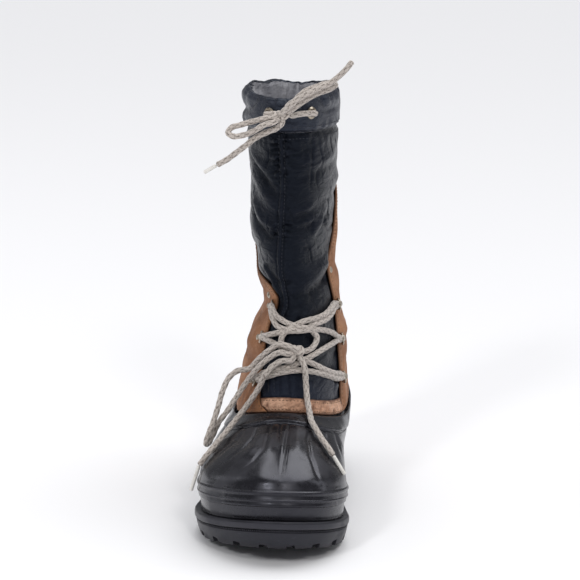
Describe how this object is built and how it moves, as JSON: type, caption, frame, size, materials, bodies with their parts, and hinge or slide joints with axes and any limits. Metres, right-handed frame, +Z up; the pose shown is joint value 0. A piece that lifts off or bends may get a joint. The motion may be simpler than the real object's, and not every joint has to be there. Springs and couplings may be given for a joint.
{
  "type": "pac boot",
  "caption": "Right pac boot: rubber shell on a lugged sole, padded nylon shaft and collar, leather quarter with metal lace rings, tied lace and drawcord",
  "frame": {"origin": "middle of the heel's tread, on the floor", "axes": "+Z up, -Y towards the toe, -X to the wearer's outer side"},
  "size_m": [0.1288, 0.315, 0.3715],
  "materials": {
    "sole_rubber": "matt moulded rubber",
    "shell_rubber": "satin moulded rubber",
    "felt": "brushed felt",
    "nylon": "satin woven nylon",
    "collar_nylon": "satin woven nylon",
    "leather": "waxed full grain",
    "ring_metal": "aged",
    "lace_cord": "braided cord",
    "tip_plastic": "moulded tip"
  },
  "bodies": {
    "root": {"outsole": "sole_rubber", "rubber_shell": "shell_rubber", "insole": "felt", "shaft": "nylon", "cuff": "collar_nylon", "leather_band": "leather", "leather_quarter": "leather", "lace_ring_outer_low": "ring_metal", "lace_ring_outer_middle": "ring_metal", "lace_ring_outer_top": "ring_metal", "lace_ring_inner_low": "ring_metal", "lace_ring_inner_middle": "ring_metal", "lace_ring_inner_top": "ring_metal", "quarter_rivet_inner": "ring_metal", "quarter_rivet_outer": "ring_metal", "cuff_eyelet_inner": "ring_metal", "cuff_eyelet_outer": "ring_metal", "lace_bars": "lace_cord", "lace_knot": "lace_cord", "lace_loop": "lace_cord", "lace_end_inner": "lace_cord", "lace_end_outer": "lace_cord", "lace_tip_inner": "tip_plastic", "lace_tip_outer": "tip_plastic", "drawcord_knot": "lace_cord", "drawcord_lead_inner": "lace_cord", "drawcord_lead_outer": "lace_cord", "drawcord_loop_inner": "lace_cord", "drawcord_loop_outer": "lace_cord", "drawcord_end_inner": "lace_cord", "drawcord_end_outer": "lace_cord", "drawcord_tip": "tip_plastic"}
  },
  "joints": []
}
